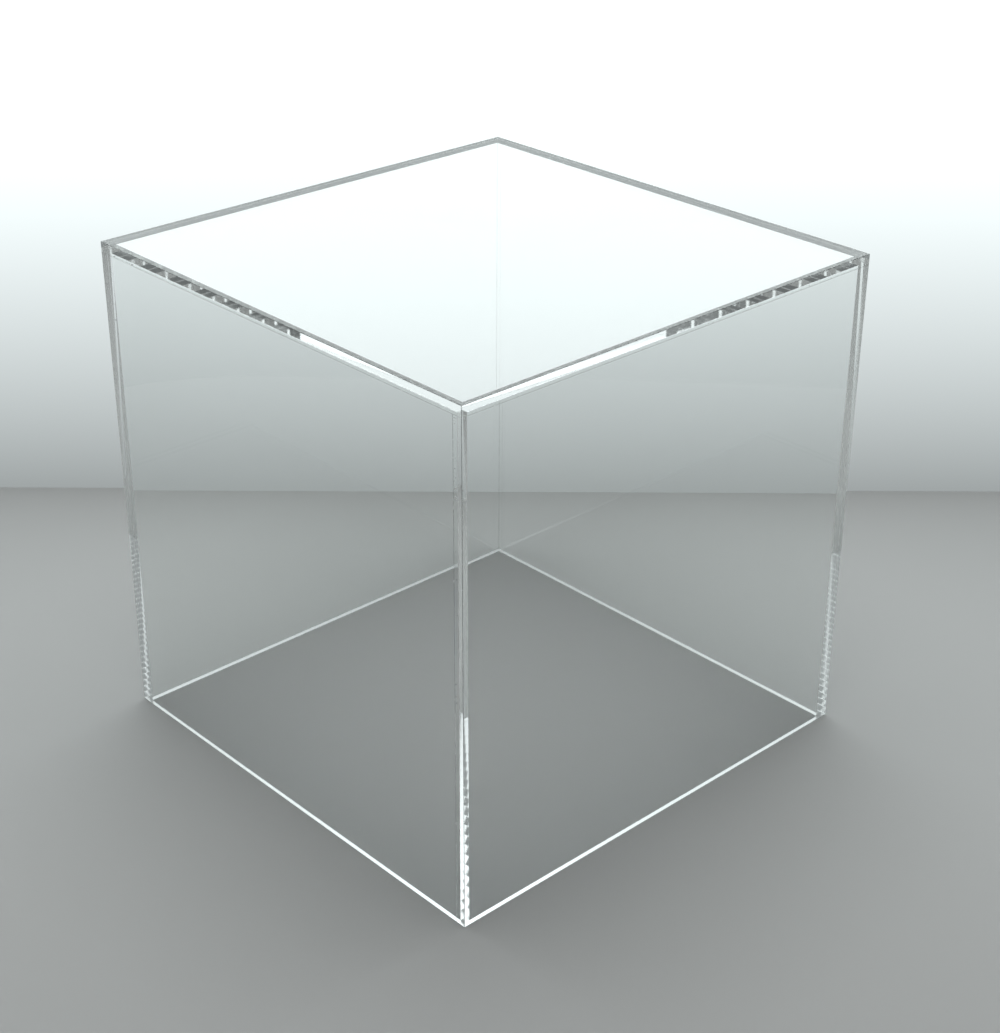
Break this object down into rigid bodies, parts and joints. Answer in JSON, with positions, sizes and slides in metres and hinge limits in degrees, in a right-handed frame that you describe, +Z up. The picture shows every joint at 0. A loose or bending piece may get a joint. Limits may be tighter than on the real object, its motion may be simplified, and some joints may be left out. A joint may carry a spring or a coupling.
{
  "type": "acrylic display cube",
  "caption": "Clear acrylic display cube, open underneath, made of flat sheets cemented with flush butt joints, that drops over an exhibit or a plinth.",
  "frame": {"origin": "centre of the plane that the bottom edges rest on", "axes": "+Z up through the centre of the top sheet; -Y is the front, a wall that runs the cube's full width; the side walls at -X and +X are held between the front and back walls"},
  "size_m": [0.3, 0.3, 0.3],
  "materials": {
    "clear_acrylic": "clear cast acrylic sheet, faces glossy as cast, edges diamond polished, refractive index 1.49",
    "clear_cement": "clear acrylic cement, cured, glossy bead with a few fine bubbles"
  },
  "bodies": {
    "root": {"top_panel": "clear_acrylic", "front_wall": "clear_acrylic", "back_wall": "clear_acrylic", "left_wall": "clear_acrylic", "right_wall": "clear_acrylic", "front_left_seam": "clear_cement", "front_right_seam": "clear_cement", "back_left_seam": "clear_cement", "back_right_seam": "clear_cement", "front_top_seam": "clear_cement", "back_top_seam": "clear_cement", "left_top_seam": "clear_cement", "right_top_seam": "clear_cement"}
  },
  "joints": []
}
